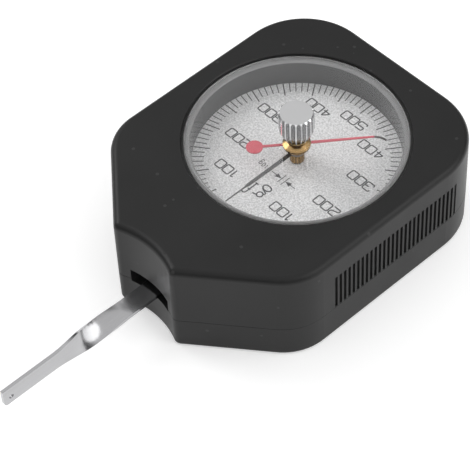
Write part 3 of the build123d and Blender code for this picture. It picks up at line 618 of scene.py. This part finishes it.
# %% Marks
def new_piece(name, mesh, finish, body):
    """A finished mesh object that rides on a body."""
    piece = bpy.data.objects.new(name, mesh)
    bpy.context.collection.objects.link(piece)
    mesh.materials.append(finish)
    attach(piece, body)
    return piece


def add_mark(shape, inner, width, turn):
    """One bar from the inner radius to the dial's edge, set to start at -Y."""
    length = DIAL_EDGE - inner
    bar = bmesh.ops.create_cube(shape, size=1)["verts"]
    bmesh.ops.scale(shape, vec=(width, length, INK_THICK), verts=bar)
    bmesh.ops.translate(shape, vec=(0, -inner - length / 2, DIAL_TOP + INK_THICK / 2), verts=bar)
    bmesh.ops.rotate(shape, cent=(0, 0, 0), matrix=Matrix.Rotation(turn, 3, "Z"), verts=bar)
    return bar


def make_marks():
    shape = bmesh.new()
    step = 2 * pi / DIVISIONS
    for place in range(LONG_EVERY):
        inner, width = LONG_MARK if place == 0 else SHORT_MARK
        bar = add_mark(shape, inner, width, place * step)
        faces = {f for v in bar for f in v.link_faces}
        edges = {e for v in bar for e in v.link_edges}
        turns = DIVISIONS // LONG_EVERY
        bmesh.ops.spin(shape, geom=[*bar, *edges, *faces], cent=(0, 0, 0), axis=(0, 0, 1),
                       dvec=(0, 0, 0), angle=2 * pi * (turns - 1) / turns, steps=turns - 1,
                       use_duplicate=True)
    mesh = bpy.data.meshes.new("dial_marks")
    shape.to_mesh(mesh)
    shape.free()
    return mesh


marks = new_piece("dial_marks", make_marks(), DIAL_INK, "case")
print("marks:", len(marks.data.polygons) // 6)

# %% [markdown]
# ## Dished washer
# A thin brass washer lies on the red hand, stamped hollow so that it is highest round the
# neck. The solid under it is a flat disc of the same reach. A profile of five points,
# spun once about the axis, gives the dish, and it replaces the disc.

# %% Washer on the red hand
WASHER_RIM = 0.15 * MM
WASHER_RISE = 0.8 * MM
WASHER_LOW, WASHER_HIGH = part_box("peak_washer")
WASHER_REACH = WASHER_HIGH[0]
WASHER_BORE = 2.02 * MM
SPIN_STEPS = 64


def make_washer():
    shape = bmesh.new()
    foot = WASHER_LOW[2]
    profile = [(WASHER_BORE, foot), (WASHER_REACH, foot), (WASHER_REACH, foot + WASHER_RIM),
               (WASHER_BORE + WASHER_RIM, foot + WASHER_RISE), (WASHER_BORE, foot + WASHER_RISE)]
    corners = [shape.verts.new((r, 0, z)) for r, z in profile]
    sides = [shape.edges.new((corners[i], corners[(i + 1) % len(corners)]))
             for i in range(len(corners))]
    bmesh.ops.spin(shape, geom=[*corners, *sides], cent=(0, 0, 0), axis=(0, 0, 1),
                   dvec=(0, 0, 0), angle=2 * pi, steps=SPIN_STEPS, use_merge=True)
    bmesh.ops.recalc_face_normals(shape, faces=shape.faces)
    mesh = bpy.data.meshes.new("washer_dish")
    shape.to_mesh(mesh)
    shape.free()
    return mesh


washer = new_piece("washer_dish", make_washer(), HUB_BRASS, "peak")
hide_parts("peak_washer")
print("washer faces:", len(washer.data.polygons))

# %% [markdown]
# ## Numbers
# The figures are drawn with one thin stroke each, nearly square, as an engraver's pen
# leaves them. A font has no such shapes. So each figure is a short path of corners, a poly
# curve with rounded corners follows it, and a flattened round bevel gives the stroke.

# %% Figures as strokes
FIGURE_WIDTH = 2.05 * MM
FIGURE_HEIGHT = 2.42 * MM
FIGURE_PITCH = 2.48 * MM
STROKE = 0.36 * MM
CORNER = 0.16
# Corners on a box one wide and one high, first point at the pen's start.
FIGURES = {
    "0": [[(0, 0), (0, 1), (1, 1), (1, 0), (0, 0)]],
    "1": [[(0.5, 0.82), (0.8, 1), (0.8, 0)]],
    "2": [[(0, 0.74), (0, 1), (1, 1), (1, 0.55), (0, 0.3), (0, 0), (1, 0)]],
    "3": [[(0, 0.78), (0, 1), (1, 1), (1, 0.5), (0.42, 0.5)],
          [(1, 0.5), (1, 0), (0, 0), (0, 0.24)]],
    "4": [[(0.72, 0), (0.72, 1), (0, 0.3), (1, 0.3)]],
    "5": [[(1, 1), (0.05, 1), (0, 0.55), (1, 0.6), (1, 0), (0, 0), (0, 0.2)]],
}


def round_corners(path, radius):
    """The same path with each inner corner cut by a short arc of three points."""
    closed = path[0] == path[-1]
    corners = path[:-1] if closed else path
    count = len(corners)
    rounded = []
    for i, corner in enumerate(corners):
        here = Vector((*corner, 0))
        if not closed and i in (0, count - 1):
            rounded.append(here)
            continue
        before = Vector((*corners[i - 1], 0)) - here
        after = Vector((*corners[(i + 1) % count], 0)) - here
        cut = min(radius, before.length * 0.45, after.length * 0.45)
        start, end = here + before.normalized() * cut, here + after.normalized() * cut
        middle = (start + end) * 0.25 + here * 0.5
        rounded += [start, middle, end]
    return rounded, closed


def add_stroke(curve, points, closed):
    spline = curve.splines.new("POLY")
    spline.points.add(len(points) - 1)
    for target, point in zip(spline.points, points):
        target.co = (*point, 1)
    spline.use_cyclic_u = closed


def print_position(u, v, at):
    """From the print's own frame, read with the lever pointing up, to the dial."""
    return Vector((at[0] - u, at[1] - v, 0))


def write_number(curve, text, centre):
    """Adds a number's strokes, centred on a point of the dial."""
    span = FIGURE_PITCH * (len(text) - 1) + FIGURE_WIDTH
    for i, figure in enumerate(text):
        left = i * FIGURE_PITCH - span / 2
        for path in FIGURES[figure]:
            sized = [(x * FIGURE_WIDTH, y * FIGURE_HEIGHT) for x, y in path]
            points, closed = round_corners(sized, CORNER * FIGURE_HEIGHT)
            spots = [print_position(p.x + left, p.y - FIGURE_HEIGHT / 2, centre) for p in points]
            add_stroke(curve, spots, closed)


def stroke_mesh(name, curve):
    """Turns strokes into flat ink on the dial."""
    curve.bevel_resolution = 1
    drawn = bpy.data.objects.new(name, curve)
    bpy.context.collection.objects.link(drawn)
    bpy.context.view_layer.update()
    mesh = bpy.data.meshes.new_from_object(drawn)
    bpy.data.objects.remove(drawn)
    flatten = Matrix.Diagonal((1, 1, INK_THICK / curve.bevel_depth, 1))
    mesh.transform(Matrix.Translation((0, 0, DIAL_TOP)) @ flatten)
    mesh.name = name
    return mesh


def new_stroke_curve(name, width):
    curve = bpy.data.curves.new(name, "CURVE")
    curve.dimensions = "3D"
    curve.bevel_depth = width / 2
    curve.use_fill_caps = True
    return curve


# %% Write the numbers
NUMBERS = [
    ("100", -9.15 * MM, -13.7 * MM), ("100", 9.5 * MM, -13.7 * MM),
    ("200", -14.65 * MM, -5.2 * MM), ("200", 15.2 * MM, -5.2 * MM),
    ("300", -15.1 * MM, 5.85 * MM), ("300", 15.25 * MM, 5.85 * MM),
    ("400", -8.3 * MM, 15.1 * MM), ("400", 10.1 * MM, 14.5 * MM),
    ("500", 0.6 * MM, 18.25 * MM),
]

number_curve = new_stroke_curve("dial_numbers", STROKE)
for text, x, y in NUMBERS:
    write_number(number_curve, text, (x, y))
numbers = new_piece("dial_numbers", stroke_mesh("dial_numbers", number_curve), DIAL_INK,
                    "case")
print("number strokes:", len(number_curve.splines), "faces:", len(numbers.data.polygons))

# %% [markdown]
# ## Unit and division mark
# Below the hub stands the unit, gram-force, and above it a note that one division is ten
# of them, with two arrows that pinch a pair of lines. The two-storey g is two ovals and
# two short strokes. Ovals come from a formula, so they stay smooth at any size.

# %% Unit strokes
def oval(centre, wide, high, start=0.0, sweep=2 * pi, lean=0.0, count=20):
    """Points on an oval that leans to the right by a share of its height."""
    points = []
    for i in range(count):
        angle = start + sweep * i / (count if sweep == 2 * pi else count - 1)
        v = high / 2 * sin(angle)
        points.append((centre[0] + wide / 2 * cos(angle) + lean * v, centre[1] + v))
    return points


def draw(curve, points, origin, closed=False):
    spots = [print_position(u * MM, v * MM, origin) for u, v in points]
    add_stroke(curve, spots, closed)


UNIT_ORIGIN = (1.65 * MM, -12.8 * MM)
NOTE_ORIGIN = (-4.1 * MM, -6.75 * MM)
ARROW_ORIGIN = (2.43 * MM, -6.78 * MM)

unit_curve = new_stroke_curve("dial_unit", STROKE)
draw(unit_curve, oval((-0.12, 0.95), 1.5, 1.55), UNIT_ORIGIN, closed=True)
draw(unit_curve, oval((0.0, -1.55), 2.35, 1.6), UNIT_ORIGIN, closed=True)
draw(unit_curve, [(0.5, 1.5), (1.1, 1.72), (1.55, 1.68)], UNIT_ORIGIN)
draw(unit_curve, [(-0.6, 0.4), (-0.95, 0.1), (-0.9, -0.2), (-0.2, -0.45), (0.8, -0.85)], UNIT_ORIGIN)
draw(unit_curve, [(2.3, -0.9), (3.2, -0.9)], UNIT_ORIGIN)
draw(unit_curve, [(2.45, 1.55), (3.3, 1.55)], UNIT_ORIGIN)
hook = oval((3.35, 2.55), 1.1, 1.3, start=pi, sweep=-pi * 0.75, count=8)
draw(unit_curve, [(2.8, -0.9), (2.8, 1.5), *hook], UNIT_ORIGIN)
new_piece("dial_unit", stroke_mesh("dial_unit", unit_curve), DIAL_INK, "case")

# %% Division note
THIN_STROKE = 0.21 * MM

note_curve = new_stroke_curve("dial_note", THIN_STROKE)
draw(note_curve, [(-0.85, 0.3), (-0.65, 0.55), (-0.65, -0.6)], NOTE_ORIGIN)
draw(note_curve, oval((0.2, 0.0), 0.62, 1.15), NOTE_ORIGIN, closed=True)
draw(note_curve, oval((1.2, 0.05), 0.62, 0.85), NOTE_ORIGIN, closed=True)
tail = oval((1.2, -0.75), 0.62, 0.75, start=0, sweep=-pi * 0.85, count=8)
draw(note_curve, [(1.51, 0.5), (1.51, -0.7), *tail], NOTE_ORIGIN)
for side in (1, -1):
    draw(note_curve, [(side * 0.57, 1.45), (side * 0.57, -1.45)], ARROW_ORIGIN)
    draw(note_curve, [(side * 0.75, 0), (side * 3.9, 0)], ARROW_ORIGIN)
new_piece("dial_note", stroke_mesh("dial_note", note_curve), DIAL_INK, "case")


def make_arrowheads():
    """Two flat triangles, each extruded from three points."""
    shape = bmesh.new()
    for side in (1, -1):
        corners = [(side * 0.7, 0), (side * 2.3, 0.65), (side * 2.3, -0.65)]
        spots = [print_position(u * MM, v * MM, ARROW_ORIGIN) for u, v in corners]
        face = shape.faces.new([shape.verts.new((p.x, p.y, DIAL_TOP)) for p in spots])
        raised = bmesh.ops.extrude_face_region(shape, geom=[face])["geom"]
        lifted = [v for v in raised if isinstance(v, bmesh.types.BMVert)]
        bmesh.ops.translate(shape, vec=(0, 0, INK_THICK), verts=lifted)
    bmesh.ops.recalc_face_normals(shape, faces=shape.faces)
    mesh = bpy.data.meshes.new("dial_arrows")
    shape.to_mesh(mesh)
    shape.free()
    return mesh


new_piece("dial_arrows", make_arrowheads(), DIAL_INK, "case")
print("unit, note and arrows printed")

# %% [markdown]
# ## Light
# A plain studio: a wide soft panel on the left and another, lower and larger, on the right,
# under a sky that pales towards the top. A single small lamp would put hard dots on the
# steel, and an evenly white sky would leave it flat. The floor is matt white and shows the
# contact shadow. Camera, glossy and transmission rays see it a little brighter, so that it
# reads as a white sweep in the view and in the metal alike.

# %% Studio
def soft_panel(name, place, target, size, power):
    data = bpy.data.lights.new(name, "AREA")
    data.shape = "DISK"
    data.size = size
    data.energy = power
    panel = bpy.data.objects.new(name, data)
    bpy.context.collection.objects.link(panel)
    aim = (Vector(target) - Vector(place)).to_track_quat("-Z", "Y")
    panel.matrix_world = Matrix.Translation(place) @ aim.to_matrix().to_4x4()
    return panel


CENTRE = Vector((0, -20 * MM, 10 * MM))
KEY_PLACE = (-0.6, -0.12, 0.52)
SIDE_HEADING = Vector((0.74, 0.42, 0.53))
SIDE_DISTANCE = 0.8
SKY_LOW = 0.1
SKY_HIGH = 0.85
FLOOR_GLOW = 0.35
FLOOR_REACH = 3.0
soft_panel("key_panel", KEY_PLACE, CENTRE, size=0.5, power=1.75)
soft_panel("side_panel", CENTRE + SIDE_DISTANCE * SIDE_HEADING, CENTRE, size=0.8, power=2.3)

world = bpy.data.worlds.new("studio")
bpy.context.scene.world = world
world.use_nodes = True
sky = world.node_tree.nodes["Background"]
sky.inputs["Color"].default_value = (1, 1, 1, 1)
direction = add(world.node_tree, "TexCoord")
parts = add(world.node_tree, "SeparateXYZ")
join(world.node_tree, direction.outputs["Generated"], parts.inputs[0])
ceiling = math(world.node_tree, "MULTIPLY_ADD", parts.outputs[2], 2.5, -0.5, clamp=True)
join(world.node_tree, spread(world.node_tree, ceiling, SKY_LOW, SKY_HIGH), sky.inputs["Strength"])


FLOOR_GAP = 0.05 * MM       # keeps the floor from sharing a plane with the back face


def make_floor():
    shape = bmesh.new()
    bmesh.ops.create_grid(shape, x_segments=1, y_segments=1, size=FLOOR_REACH,
                          matrix=Matrix.Translation((0, 0, -FLOOR_GAP)))
    mesh = bpy.data.meshes.new("floor")
    shape.to_mesh(mesh)
    shape.free()
    made, tree, shader = new_material("floor_white", (0.86, 0.86, 0.86), 0.9)
    rays = add(tree, "LightPath")
    shader.inputs["Emission Color"].default_value = (1, 1, 1, 1)
    mesh.materials.append(made)
    floor = bpy.data.objects.new("floor", mesh)
    bpy.context.collection.objects.link(floor)
    mirrored = math(tree, "MAXIMUM", rays.outputs["Is Glossy Ray"], rays.outputs["Is Transmission Ray"])
    seen = math(tree, "MAXIMUM", rays.outputs["Is Camera Ray"], mirrored)
    join(tree, math(tree, "MULTIPLY", seen, FLOOR_GLOW), shader.inputs["Emission Strength"])


make_floor()
print("studio lit")
